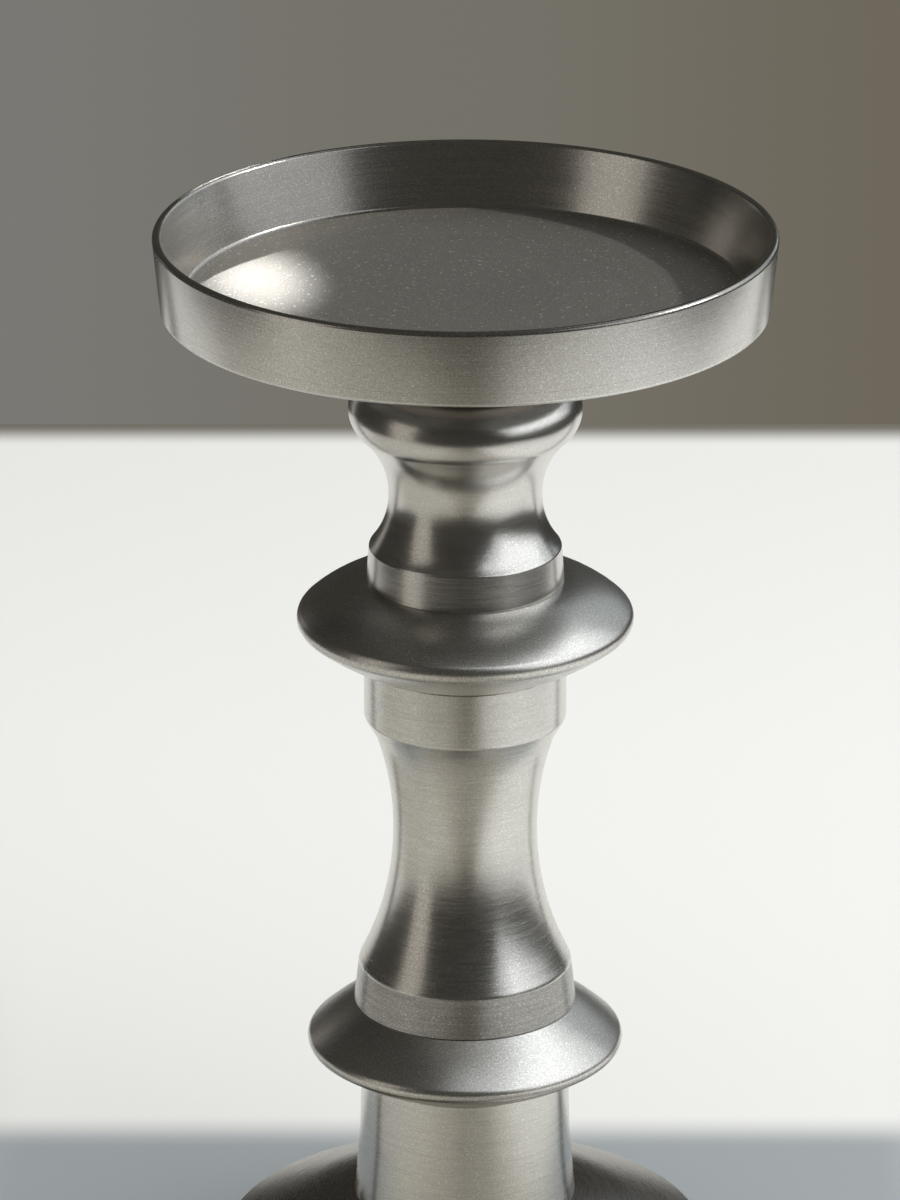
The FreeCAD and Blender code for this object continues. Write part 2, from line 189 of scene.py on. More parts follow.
# %% A rounded corner
def rounded_corner(section, before, corner, after, size):
    """Draw to a corner and round it: a line, then an arc that touches both sides."""
    first = towards(corner, 1, before)
    second = towards(corner, 1, after)
    half_sine = math.dist(first, second) / 2
    trim = size * leg(1, half_sine) / half_sine
    begin, end = towards(corner, trim, before), towards(corner, trim, after)
    middle = (begin[0] + end[0]) / 2, (begin[1] + end[1]) / 2
    centre = towards(corner, math.hypot(trim, size), middle)
    section.line(*begin)
    section.arc(centre, *end)


# %% [markdown]
# The dish is a shallow pan whose wall leans out. Its wall is thick at the floor and thin at the
# lip, so the inner side leans more than the outer one. The section runs from the middle of the
# underside round the wall and back to the middle of the floor. The lip and the two corners at
# the wall's foot are drawn as arcs, because their light lines are the first thing that one
# sees. The wall leans, so rounding the lip takes a little off its reach, and its corner is drawn
# that much further out.

# %% The dish
DISH_FLARE = 1.3
DISH_WALL_FOOT = 3.9
DISH_FLOOR = 2.3
DISH_LIP = 1.4
DISH_LIP_ROUND = 0.62
DISH_LIP_LOSS = 0.06
DISH_CORNER_ROUND = 0.8


def candle_dish():
    foot = foot_level("candle_dish")
    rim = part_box("candle_dish")[1].z / MM
    rim_radius = reach("candle_dish") + DISH_LIP_LOSS
    lip_radius = rim_radius - DISH_LIP
    foot_radius = rim_radius - DISH_FLARE
    floor_radius = foot_radius - DISH_WALL_FOOT
    floor = foot + DISH_FLOOR
    corners = [(0, foot), (foot_radius, foot), (rim_radius, rim), (lip_radius, rim)]
    corners += [(floor_radius, floor), (0, floor)]
    rounds = [DISH_CORNER_ROUND, DISH_LIP_ROUND, DISH_LIP_ROUND, DISH_CORNER_ROUND]
    section = Section("dish", *corners[0])
    for index, size in enumerate(rounds, start=1):
        rounded_corner(section, corners[index - 1], corners[index], corners[index + 1], size)
    section.line(*corners[-1])
    return finished(section.turned(), "candle_dish")


dish = candle_dish()

# %% [markdown]
# Under the dish sits a flanged neck. From the usual height it hides behind the dish, but it
# shows from below and from a low camera: a short straight, a quarter cove and a thin flange.

# %% The neck
NECK_RADIUS = 12.6
NECK_COVE = 7.5
NECK_FLANGE = 2.2


def dish_neck():
    foot = foot_level("dish_neck")
    top = foot_level("candle_dish")
    flange = top - NECK_FLANGE
    cove = (NECK_RADIUS + NECK_COVE, flange - NECK_COVE)
    section = Section("neck", 0, foot)
    section.line(NECK_RADIUS, foot)
    section.line(NECK_RADIUS, cove[1])
    section.arc(cove, cove[0], flange)
    section.line(reach("dish_neck"), flange)
    section.line(reach("dish_neck"), top)
    section.line(0, top)
    return finished(section.turned(), "dish_neck")


neck = dish_neck()

# %% [markdown]
# The capital is the brightest piece: a tapered band, a tight cove and a fat bead. The cove
# starts at the band's crisp corner and runs into the bead with no kink, so only their radii are
# chosen and the centres follow. Its polish would show the smallest bump in that line.

# %% The capital
BAND_RADIUS = 16.9
BAND_TAPER = 0.5
BAND_HEIGHT = 6.3
WAIST_RADIUS = 13.0
COVE_RADIUS = 14.5
BEAD_RADIUS = 6.1
BEAD_REACH = 19.8


def capital_piece():
    foot = foot_level("capital")
    corner = (BAND_RADIUS - BAND_TAPER, foot + BAND_HEIGHT)
    cove_axis = WAIST_RADIUS + COVE_RADIUS
    bead_axis = BEAD_REACH - BEAD_RADIUS
    cove = (cove_axis, corner[1] + leg(COVE_RADIUS, cove_axis - corner[0]))
    bead = (bead_axis, cove[1] + leg(COVE_RADIUS + BEAD_RADIUS, cove_axis - bead_axis))
    section = Section("capital", 0, foot)
    section.line(BAND_RADIUS, foot)
    section.line(*corner)
    section.arc(cove, *towards(bead, BEAD_RADIUS, cove))
    section.arc(bead, bead_axis, bead[1] + BEAD_RADIUS)
    section.line(0, bead[1] + BEAD_RADIUS)
    return finished(section.turned(), "capital")


capital = capital_piece()

# %% [markdown]
# The two collars are saucers: a nearly straight underside, a round rim and a crowned top, again
# in tangent arcs. Crowned means slightly domed, and a pair of crowns holds the radii of the
# underside and of the top. One function draws both collars, and the base uses it too, because a
# foot of this kind is only a larger saucer.

# %% The saucer form
def saucer(section, rim, rim_round, under_crown, top_crown, top):
    """Draw a crowned underside, a round rim and a crowned top that ends at a point."""
    core = (rim[0] - rim_round, rim[1])
    under = meeting(section.here, under_crown, core, under_crown - rim_round, 1)
    over = meeting(top, top_crown, core, top_crown - rim_round, -1)
    section.arc(under, *towards(under, under_crown, core))
    section.arc(core, *towards(over, top_crown, core))
    section.arc(over, *top)


# %% The collars
UPPER_RIM_LEVEL = 7.9
UPPER_RIM_ROUND = 2.1
UPPER_CROWNS = (45.0, 20.0)
LOWER_RIM_LEVEL = 6.0
LOWER_RIM_ROUND = 1.6
LOWER_CROWNS = (45.0, 60.0)
SPOOL_HEAD_RADIUS = 17.3
SPOOL_FOOT_RADIUS = 19.1
COLUMN_HEAD_RADIUS = 18.0


def collar(node, foot_radius, rim_level, rim_round, crowns, top_radius, next_node):
    foot = foot_level(node)
    top = foot_level(next_node)
    section = Section(node.split("_")[0] + "_ring", 0, foot)
    section.line(foot_radius, foot)
    rim = (reach(node), foot + rim_level)
    saucer(section, rim, rim_round, *crowns, (top_radius, top))
    section.line(0, top)
    return finished(section.turned(), node)


upper_collar = collar("upper_collar", foot_radius=SPOOL_HEAD_RADIUS, rim_level=UPPER_RIM_LEVEL,
                      rim_round=UPPER_RIM_ROUND, crowns=UPPER_CROWNS,
                      top_radius=BAND_RADIUS, next_node="capital")
lower_collar = collar("lower_collar", foot_radius=COLUMN_HEAD_RADIUS, rim_level=LOWER_RIM_LEVEL,
                      rim_round=LOWER_RIM_ROUND, crowns=LOWER_CROWNS,
                      top_radius=SPOOL_FOOT_RADIUS, next_node="spool")

# %% [markdown]
# The spool carries the longest line of the object. A band at its foot leans in a little, the
# flare rolls over into one long cove, and a bevel lifts it to the band at its head. The
# cove touches the flare and passes through the foot of the bevel, which fixes its centre.

# %% The spool
SPOOL_FOOT_BAND = 6.7
SPOOL_BAND_TAPER = 0.65
SPOOL_FOOT_DRAFT = 0.15
SPOOL_FLARE_ROUND = 2.4
SPOOL_COVE = 53.3
SPOOL_SHOULDER = (2.0, 3.5)
SPOOL_SHOULDER_ROUND = 1.3
SPOOL_HEAD_BAND = 9.9


def spool_piece():
    foot = foot_level("spool")
    top = foot_level("upper_collar")
    band = foot + SPOOL_FOOT_BAND
    flare_radius = SPOOL_FOOT_RADIUS - SPOOL_BAND_TAPER
    flare = (flare_radius - SPOOL_FLARE_ROUND, band)
    head = (SPOOL_HEAD_RADIUS, top - SPOOL_HEAD_BAND)
    shoulder = (head[0] - SPOOL_SHOULDER[0], head[1] - SPOOL_SHOULDER[1])
    cove = meeting(flare, SPOOL_COVE + SPOOL_FLARE_ROUND, shoulder, SPOOL_COVE, -1)
    section = Section("spool", 0, foot)
    section.line(SPOOL_FOOT_RADIUS + SPOOL_FOOT_DRAFT, foot)
    section.line(flare_radius, band)
    section.arc(flare, *towards(flare, SPOOL_FLARE_ROUND, cove))
    section.arc(cove, *shoulder)
    rounded_corner(section, shoulder, head, (head[0], top), SPOOL_SHOULDER_ROUND)
    section.line(head[0], top)
    section.line(0, top)
    return finished(section.turned(), "spool")


spool = spool_piece()

# %% [markdown]
# Below the lower collar a short column sweeps out to the foot in one shallow arc, and the foot
# itself is a saucer that is hollow in the real object. Nobody sees the hollow behind its cover,
# so here the foot is closed by a plain underside.

# %% The column and the base
COLUMN_FLARE = 1.3
BASE_RIM_LEVEL = 6.5
BASE_RIM_ROUND = 1.2
BASE_CROWNS = (60.0, 400.0)
BASE_UNDERCUT = 3.4


def lower_column_piece():
    foot = foot_level("lower_column")
    top = foot_level("lower_collar")
    height = top - foot
    sweep = (height**2 + COLUMN_FLARE**2) / (2 * COLUMN_FLARE)
    section = Section("column", 0, foot)
    section.line(COLUMN_HEAD_RADIUS + COLUMN_FLARE, foot)
    section.arc((COLUMN_HEAD_RADIUS + sweep, top), COLUMN_HEAD_RADIUS, top)
    section.line(0, top)
    return finished(section.turned(), "lower_column")


def base_piece():
    foot = foot_level("base")
    top = foot_level("lower_column")
    section = Section("foot", 0, foot)
    section.line(reach("base") - BASE_UNDERCUT, foot)
    rim = (reach("base"), foot + BASE_RIM_LEVEL)
    top_point = (COLUMN_HEAD_RADIUS + COLUMN_FLARE, top)
    saucer(section, rim, BASE_RIM_ROUND, *BASE_CROWNS, top_point)
    section.line(0, top)
    return finished(section.turned(), "base")


column = lower_column_piece()
base = base_piece()

# %% [markdown]
# A round of pressed felt covers the whole underside, so that the steel never scratches a table.
# It is flat cloth, 1.5 mm thick, laid on a flat face, so nothing has to be simulated: a thin
# disc with softened edges is its true shape.

# %% The felt pad
FELT_EDGE = 0.35


def felt_piece():
    low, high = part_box("felt_pad")
    section = Section("felt", 0, low.z / MM)
    section.line(high.x / MM, low.z / MM)
    section.line(high.x / MM, high.z / MM)
    section.line(0, high.z / MM)
    return finished(section.turned(), "felt_pad", FELT_EDGE)


felt = felt_piece()

# %% [markdown]
# A material is a tree of nodes, and wiring it by hand takes the same few steps again and again.
# Three small helpers keep the recipes below short: one joins two nodes, and the others add a
# Math or a Vector Math node that is already set to its task.

# %% Helpers for node trees
def link(tree, source, output, target, name):
    tree.links.new(source.outputs[output], target.inputs[name])


def math_node(tree, operation, *values):
    """A Math node. The values fill its inputs from the second one on."""
    node = tree.nodes.new("ShaderNodeMath")
    node.operation = operation
    for index, value in enumerate(values, start=1):
        node.inputs[index].default_value = value
    return node


def vector_node(tree, operation):
    node = tree.nodes.new("ShaderNodeVectorMath")
    node.operation = operation
    return node


# %% [markdown]
# Turned steel is never one grey, because a lathe leaves fine lines round the axis. A flat image
# of lines would pinch at the middle of every top, so the lines are a noise worked out from the
# Object coordinates. It changes slowly with the direction from the axis and fast with the
# radius and the height, so the lines follow any section. The direction takes two dimensions of
# the noise and the radius a third. The height is the fourth, which the noise calls W.

# %% Lines that run round the axis
LINES_PER_MM = 3.2
LINE_WRAP = 2.5
LINE_OCTAVES = 2


def turning_lines(tree, coordinates):
    """Noise that runs round the axis in long streaks and changes fast along the section."""
    parts = tree.nodes.new("ShaderNodeSeparateXYZ")
    link(tree, coordinates, "Object", parts, "Vector")
    flat = tree.nodes.new("ShaderNodeCombineXYZ")
    link(tree, parts, "X", flat, "X")
    link(tree, parts, "Y", flat, "Y")
    length = vector_node(tree, "LENGTH")
    link(tree, flat, "Vector", length, 0)
    heading = vector_node(tree, "NORMALIZE")
    link(tree, flat, "Vector", heading, 0)
    wrapped = vector_node(tree, "SCALE")
    wrapped.inputs["Scale"].default_value = LINE_WRAP
    link(tree, heading, "Vector", wrapped, 0)
    out = math_node(tree, "MULTIPLY", LINES_PER_MM / MM)
    link(tree, length, "Value", out, 0)
    rise = math_node(tree, "MULTIPLY", LINES_PER_MM / MM)
    link(tree, parts, "Z", rise, 0)
    lift = tree.nodes.new("ShaderNodeCombineXYZ")
    link(tree, out, "Value", lift, "Z")
    place = vector_node(tree, "ADD")
    link(tree, wrapped, "Vector", place, 0)
    link(tree, lift, "Vector", place, 1)
    noise = tree.nodes.new("ShaderNodeTexNoise")
    noise.noise_dimensions = "4D"
    noise.inputs["Scale"].default_value = 1
    noise.inputs["Detail"].default_value = LINE_OCTAVES
    link(tree, place, "Vector", noise, "Vector")
    link(tree, rise, "Value", noise, "W")
    return noise


print("turning lines", LINES_PER_MM, "to the millimetre")

# %% [markdown]
# The satin comes from blasting with fine beads, which leaves a small grain, and handling leaves
# broad soft smudges. Both are plain noise, one with about four grains to the millimetre and one
# with grains of some three centimetres. A noise keeps near its middle, so a Map Range node
# stretches that part of it to the values that are wanted.

# %% Grain and smudges
BLASTING = {"per_mm": 4.2, "detail": 1}
SMUDGE = {"per_mm": 0.035, "detail": 3}
MIDDLE_OF_NOISE = (0.3, 0.7)


def plain_noise(tree, coordinates, per_mm, detail):
    """Noise with grains of one size in every direction."""
    noise = tree.nodes.new("ShaderNodeTexNoise")
    noise.inputs["Scale"].default_value = per_mm / MM
    noise.inputs["Detail"].default_value = detail
    link(tree, coordinates, "Object", noise, "Vector")
    return noise


def remapped(tree, source, low, high, span=MIDDLE_OF_NOISE):
    """Stretch a span of a noise to a range of values."""
    node = tree.nodes.new("ShaderNodeMapRange")
    node.inputs["From Min"].default_value, node.inputs["From Max"].default_value = span
    node.inputs["To Min"].default_value = low
    node.inputs["To Max"].default_value = high
    link(tree, source, "Fac", node, "Value")
    return node


def summed(tree, *terms):
    """Add up any number of values."""
    total = terms[0]
    for term in terms[1:]:
        node = math_node(tree, "ADD")
        link(tree, total, 0, node, 0)
        link(tree, term, 0, node, 1)
        total = node
    return total


print("a grain is", round(1 / BLASTING["per_mm"], 2), "mm,",
      "a smudge", round(1 / SMUDGE["per_mm"]), "mm")

# %% [markdown]
# Some faces change at a line that the lathe made at one height. The dish floor is rough and has
# bright painted glints, and a band round the spool's foot is painted darker, as painted shade. A
# Compare node is 1 between two levels and 0 elsewhere, so it can bring in an amount there. The
# painted glints are the peaks of a noise: only its highest values reach the span that is
# stretched.

# %% Finishes and painted marks that change at a level
LEVEL_SKIN = 0.02
GLINT_GRAINS = {"per_mm": 1.8, "detail": 0}
FLOOR_GLINT_PEAKS = (0.74, 0.80)


def at_level(level, amount):
    """A zone for one flat face: its lowest and highest level, and the amount there."""
    return level - LEVEL_SKIN, level + LEVEL_SKIN, amount


def between(tree, coordinates, low, high, amount):
    """An amount that applies only between two levels in millimetres."""
    parts = tree.nodes.new("ShaderNodeSeparateXYZ")
    link(tree, coordinates, "Object", parts, "Vector")
    inside = math_node(tree, "COMPARE", (low + high) / 2 * MM, (high - low) / 2 * MM)
    link(tree, parts, "Z", inside, 0)
    share = math_node(tree, "MULTIPLY", amount)
    link(tree, inside, 0, share, 0)
    return share


def painted_glints(tree, coordinates, low, high, amount):
    """Painted glints: rare points between two levels, brightened in the colour as if a grain
    caught the light.
    """
    glints = remapped(tree, plain_noise(tree, coordinates, **GLINT_GRAINS), 0, 1, FLOOR_GLINT_PEAKS)
    lit = math_node(tree, "MULTIPLY")
    link(tree, glints, 0, lit, 0)
    link(tree, between(tree, coordinates, low, high, amount), 0, lit, 1)
    return lit


print("a flat face is masked over", 2 * LEVEL_SKIN, "mm")

# %% [markdown]
# One recipe makes every steel of the object. The turning lines and the grain shift its tone, the
# lines and the smudges shift its roughness, and the lines and the grain lift a shallow bump of a
# few thousandths of a millimetre. The peaks of the grain are brightened once more in the colour,
# as painted glints. The steel's own colour is scaled by the sum of the tones, so it keeps its hue.

# %% The turned steel
GLINT_PEAKS = (0.66, 0.76)
GLINT_GAIN = 5
ROUGH_SPREAD = 0.02
RELIEF = 0.0015


def turned_steel(name, colour, roughness, lines=0.05, grain=0.12, darker=(), coarser=(), glints=()):
    """Steel with turning lines, a bead-blasted grain, painted glints and soft smudges."""
    material = bpy.data.materials.new(name)
    material.use_nodes = True
    tree = material.node_tree
    shader = tree.nodes["Principled BSDF"]
    coordinates = tree.nodes.new("ShaderNodeTexCoord")
    turning = turning_lines(tree, coordinates)
    blasting = plain_noise(tree, coordinates, **BLASTING)
    smudge = plain_noise(tree, coordinates, **SMUDGE)
    rough = [remapped(tree, turning, -ROUGH_SPREAD, ROUGH_SPREAD),
             remapped(tree, smudge, roughness - ROUGH_SPREAD, roughness + ROUGH_SPREAD)]
    # The tones: turning lines, random grain, and painted glints at the grain's peaks.
    tone = [remapped(tree, turning, 1 - lines, 1 + lines),
            remapped(tree, blasting, -grain, grain),
            remapped(tree, blasting, 0, GLINT_GAIN * grain, GLINT_PEAKS)]
    tone += [between(tree, coordinates, *zone) for zone in darker]
    # painted glints in the colour, on the zones given for them
    tone += [painted_glints(tree, coordinates, *zone) for zone in glints]
    rough += [between(tree, coordinates, *zone) for zone in coarser]
    link(tree, summed(tree, *rough), 0, shader, "Roughness")
    paint = vector_node(tree, "SCALE")
    paint.inputs[0].default_value = colour
    link(tree, summed(tree, *tone), 0, paint, "Scale")
    link(tree, paint, "Vector", shader, "Base Color")
    relief = summed(tree, remapped(tree, turning, 0, RELIEF), remapped(tree, blasting, 0, RELIEF))
    bump = tree.nodes.new("ShaderNodeBump")
    bump.inputs["Strength"].default_value = 1
    bump.inputs["Distance"].default_value = MM
    link(tree, relief, 0, bump, "Height")
    link(tree, bump, "Normal", shader, "Normal")
    shader.inputs["Metallic"].default_value = 1
    return material


print("the bump is", 2 * RELIEF, "mm deep")

# %% [markdown]
# All the pieces are one kind of steel, but each was finished in its own way. The capital is buffed
# nearly bright, the spool and the column keep their turning lines, the collars were blasted to a
# fine grain, and the dish floor is the roughest of all. The foot is painted darker, as painted
# shade. The underside of the dish and the neck below it are painted dark, as painted shade under
# the dish. Each finish is one call with its own numbers, so that two of them can be compared at a
# glance.

# %% The finishes
STEEL = (0.68, 0.665, 0.635)
# The foot's darker steel is painted shade, where the foot stands in the shade.
SHADED_FOOT_STEEL = (0.46, 0.44, 0.41)
# The neck's dark steel is painted shade under the dish.
SHADED_NECK_STEEL = (0.24, 0.22, 0.20)
SHADE_BELOW, SHADE_ABOVE = 0.1, 0.3

dish_foot = foot_level("candle_dish")
dish_floor = dish_foot + DISH_FLOOR
spool_foot = foot_level("spool")
# The band round the spool's foot is painted darker, as painted shade.
painted_shade_band = (spool_foot - SHADE_BELOW, spool_foot + SPOOL_FOOT_BAND + SHADE_ABOVE, -0.45)

# The dark zone at the dish's foot level is painted shade under the dish.
dish_steel = turned_steel("dish_steel", STEEL, roughness=0.23, lines=0.05, grain=0.16,
                          darker=[at_level(dish_foot, -0.80), at_level(dish_floor, -0.16)],
                          coarser=[at_level(dish_floor, 0.42)],
                          glints=[at_level(dish_floor, 0.7)])
neck_steel = turned_steel("neck_steel", SHADED_NECK_STEEL, roughness=0.30)
capital_steel = turned_steel("capital_steel", STEEL, roughness=0.235, lines=0.05, grain=0.09)
collar_steel = turned_steel("collar_steel", STEEL, roughness=0.32, lines=0.02, grain=0.20)
spool_steel = turned_steel("spool_steel", STEEL, roughness=0.25, lines=0.09, grain=0.11,
                           darker=[painted_shade_band])
column_steel = turned_steel("column_steel", STEEL, roughness=0.22, lines=0.08, grain=0.10)
base_steel = turned_steel("base_steel", SHADED_FOOT_STEEL, roughness=0.28, lines=0.02, grain=0.14)


def dressed(piece, material, slot):
    """Give a piece its one material."""
    piece.data.materials.clear()
    piece.data.materials.append(material)
    print(piece.name, "in", slot)


dressed(dish, dish_steel, "dish_steel")
dressed(neck, neck_steel, "neck_steel")
dressed(capital, capital_steel, "capital_steel")
dressed(upper_collar, collar_steel, "collar_steel")
dressed(lower_collar, collar_steel, "collar_steel")
dressed(spool, spool_steel, "spool_steel")
dressed(column, column_steel, "column_steel")
dressed(base, base_steel, "base_steel")

# %% [markdown]
# Six pieces are hidden inside: a cast weight, the cover below it and the rod with its washers
# and nut. They keep their CAD shapes. Anyone who takes the model apart will see them, so each
# gets the finish that such a part has, with a little mottling in its tone and its gloss.

# %% The hidden pieces
MOTTLING_OCTAVES = 2
TONE_SPREAD = 0.15
GLOSS_SPREAD = 0.06


def hidden_finish(name, colour, metallic, roughness, per_mm, nodes):
    """Give one mottled finish to the CAD nodes that share it."""
    material = bpy.data.materials.new(name)
    material.use_nodes = True
    tree = material.node_tree
    shader = tree.nodes["Principled BSDF"]
    coordinates = tree.nodes.new("ShaderNodeTexCoord")
    mottling = plain_noise(tree, coordinates, per_mm, MOTTLING_OCTAVES)
    paint = vector_node(tree, "SCALE")
    paint.inputs[0].default_value = colour
    tone = remapped(tree, mottling, 1 - TONE_SPREAD, 1 + TONE_SPREAD)
    link(tree, tone, 0, paint, "Scale")
    link(tree, paint, "Vector", shader, "Base Color")
    gloss = remapped(tree, mottling, roughness - GLOSS_SPREAD, roughness + GLOSS_SPREAD)
    link(tree, gloss, 0, shader, "Roughness")
    shader.inputs["Metallic"].default_value = metallic
    for node in nodes:
        hidden = bpy.data.objects[node]
        hidden.data.materials.clear()
        hidden.data.materials.append(material)
        print(node, "in", name)


hidden_finish("cast_iron", (0.16, 0.15, 0.14), metallic=1, roughness=0.62, per_mm=0.9,
              nodes=["base_weight"])
hidden_finish("cover_sheet", (0.05, 0.05, 0.05), metallic=0, roughness=0.60, per_mm=0.4,
              nodes=["base_cover"])
hidden_finish("zinc_steel", (0.62, 0.64, 0.66), metallic=1, roughness=0.30, per_mm=1.4,
              nodes=["tie_rod", "plain_washer", "spring_washer", "hex_nut"])

# %% [markdown]
# Pressed felt has no weave. Its fibres lie in every direction, so a noise with many octaves
# mottles its tone and lifts it a little, and it is almost fully rough.

# %% The pad's felt
FIBRES = {"per_mm": 1.5, "detail": 6}
FELT_DARK = (0.012, 0.012, 0.014, 1)
FELT_LIGHT = (0.06, 0.06, 0.065, 1)
FELT_LIFT = 0.2
FELT_ROUGHNESS = 0.95


def felt_material():
    material = bpy.data.materials.new("felt")
    material.use_nodes = True
    tree = material.node_tree
    shader = tree.nodes["Principled BSDF"]
    coordinates = tree.nodes.new("ShaderNodeTexCoord")
    fibres = plain_noise(tree, coordinates, **FIBRES)
    tone = tree.nodes.new("ShaderNodeMix")
    tone.data_type = "RGBA"
    tone.inputs["A"].default_value = FELT_DARK
    tone.inputs["B"].default_value = FELT_LIGHT
    link(tree, fibres, "Fac", tone, "Factor")
    link(tree, tone, "Result", shader, "Base Color")
    bump = tree.nodes.new("ShaderNodeBump")
    bump.inputs["Distance"].default_value = FELT_LIFT * MM
    link(tree, fibres, "Fac", bump, "Height")
    link(tree, bump, "Normal", shader, "Normal")
    shader.inputs["Roughness"].default_value = FELT_ROUGHNESS
    return material


dressed(felt, felt_material(), "felt")

# %% [markdown]
# Polished metal has hardly any colour of its own and shows what stands round it, so the floor
# and the lamps are what shapes these forms. Both the floor and the room change their tone from
# place to place. A Color Ramp does that: its stops stand at places along one axis, each with
# its tone, and the curve between them is smooth.

# %% Tones along an axis
def tone_along(tree, space, axis, tones):
    """A colour that follows a list of places and tones along one axis."""
    low, high = tones[0][0], tones[-1][0]
    coordinates = tree.nodes.new("ShaderNodeTexCoord")
    parts = tree.nodes.new("ShaderNodeSeparateXYZ")
    link(tree, coordinates, space, parts, "Vector")
    share = tree.nodes.new("ShaderNodeMapRange")
    share.inputs["From Min"].default_value = low
    share.inputs["From Max"].default_value = high
    link(tree, parts, axis, share, "Value")
    ramp = tree.nodes.new("ShaderNodeValToRGB")
    ramp.color_ramp.interpolation = "EASE"
    stops = ramp.color_ramp.elements
    stops.remove(stops[1])
    stops[0].position = 0
    stops[0].color = (*tones[0][1], 1)
    for place, colour in tones[1:]:
        stop = stops.new((place - low) / (high - low))
        stop.color = (*colour, 1)
    link(tree, share, "Result", ramp, "Fac")
    return ramp.outputs["Color"]


def mixed(tree, share, first, second, blend="MIX"):
    """Blend two colours by a share."""
    tone = tree.nodes.new("ShaderNodeMix")
    tone.data_type = "RGBA"
    tone.blend_type = blend
    tree.links.new(share, tone.inputs["Factor"])
    tree.links.new(first, tone.inputs["A"])
    tree.links.new(second, tone.inputs["B"])
    return tone.outputs["Result"]


# %% [markdown]
# The stage is one pale floor under a dim room, measured in metres from the object's axis. Its
# tones are painted light and shade. From the foot to the back it runs from a painted cool shade to
# a painted sunlit white and ends dark, so that its far edge sinks into the room. Before the object
# it follows other tones from left to right, with painted shade darkest in the middle, and at the
# sides it follows tones of their own. The shares say where one list gives way to the next: black
# keeps the first and white takes the second.

# %% The tones of the floor
BLACK, WHITE = (0, 0, 0), (1, 1, 1)
FLOOR_WHITE = (0.86, 0.86, 0.83)
REAR_TONES = (
    (0.000, (0.36, 0.39, 0.40)),
    (0.054, (0.36, 0.39, 0.405)),
    (0.068, FLOOR_WHITE),
    (0.435, FLOOR_WHITE),
    (0.449, (0.18, 0.17, 0.14)),
)
# Painted shade before the object, darkest in the middle.
FRONT_TONES = (
    (-0.40, (0.50, 0.485, 0.43)),
    (-0.08, (0.56, 0.54, 0.48)),
    (-0.04, (0.42, 0.40, 0.35)),
    (0.000, (0.32, 0.305, 0.265)),
    (0.040, (0.34, 0.325, 0.285)),
    (0.080, (0.58, 0.57, 0.52)),
    (0.40, (0.66, 0.65, 0.60)),
)
SIDE_TONES = (
    (-0.16, (0.58, 0.57, 0.52)),
    (0.16, FLOOR_WHITE),
    (0.40, (0.68, 0.68, 0.66)),
)
FADE = ((-0.38, (0.58, 0.57, 0.54)), (-0.28, (0.74, 0.735, 0.72)), (-0.14, WHITE))
FRONT_SHARE = ((-0.05, WHITE), (0.02, BLACK))
SIDE_SHARE = ((-0.110, WHITE), (-0.080, BLACK), (0.075, BLACK), (0.100, WHITE))
REAR_SHARE = ((0.030, BLACK), (0.170, WHITE))
print("floor tones from", REAR_TONES[0][0], "to", REAR_TONES[-1][0], "m behind the axis")

# %% [markdown]
# The floor itself is a plain plane. It is matt and has no gloss at all, because a glossy floor
# would mirror the lamps and spoil its even white. At the end a fade is multiplied over it, with
# a share of 1, that lets it darken towards its front edge.

# %% The floor
FLOOR_FRONT, FLOOR_BACK, FLOOR_SIDE = -0.38, 0.45, 0.43
FLOOR_ROUGHNESS = 0.9


def make_floor():
    bpy.ops.object.select_all(action="DESELECT")
    bpy.ops.mesh.primitive_plane_add(size=2, location=(0, (FLOOR_BACK + FLOOR_FRONT) / 2, 0))
    floor = bpy.context.object
    floor.name = "floor"
    floor.scale = (FLOOR_SIDE, (FLOOR_BACK - FLOOR_FRONT) / 2, 1)
    bpy.ops.object.transform_apply(location=True, rotation=True, scale=True)
    material = bpy.data.materials.new("floor")
    material.use_nodes = True
    tree = material.node_tree
    shader = tree.nodes["Principled BSDF"]
    rear = tone_along(tree, "Object", "Y", REAR_TONES)
    front = tone_along(tree, "Object", "X", FRONT_TONES)
    side = tone_along(tree, "Object", "X", SIDE_TONES)
    colour = mixed(tree, tone_along(tree, "Object", "Y", FRONT_SHARE), rear, front)
    colour = mixed(tree, tone_along(tree, "Object", "X", SIDE_SHARE), colour, side)
    colour = mixed(tree, tone_along(tree, "Object", "Y", REAR_SHARE), colour, rear)
    fade = tone_along(tree, "Object", "Y", FADE)
    whole = tree.nodes.new("ShaderNodeValue")
    whole.outputs["Value"].default_value = 1
    colour = mixed(tree, whole.outputs["Value"], colour, fade, "MULTIPLY")
    tree.links.new(colour, shader.inputs["Base Color"])
    shader.inputs["Roughness"].default_value = FLOOR_ROUGHNESS
    shader.inputs["Specular IOR Level"].default_value = 0
    floor.data.materials.append(material)
    print("floor from", FLOOR_FRONT, "to", FLOOR_BACK)


make_floor()

# %% [markdown]
# The room is the world of the scene. The metal sees one dim tone everywhere, so that the dark
# parts of each form stay dark. The camera alone sees a wall that warms from left to right. A
# Light Path node tells the two kinds of rays apart.

# %% The room
ROOM = (0.045, 0.042, 0.036)
WALL_TONES = (
    (-0.065, (0.193, 0.190, 0.175)),
    (0.000, (0.176, 0.167, 0.141)),
    (0.065, (0.156, 0.138, 0.107)),
)


def make_room():
    world = bpy.data.worlds.new("room")
    bpy.context.scene.world = world
    world.use_nodes = True
    tree = world.node_tree
    wall = tone_along(tree, "Generated", "X", WALL_TONES)
    room = tree.nodes.new("ShaderNodeRGB")
    room.outputs["Color"].default_value = (*ROOM, 1)
    seen = tree.nodes.new("ShaderNodeLightPath")
    colour = mixed(tree, seen.outputs["Is Camera Ray"], room.outputs["Color"], wall)
    tree.links.new(colour, tree.nodes["Background"].inputs["Color"])
    print("room", ROOM)


make_room()

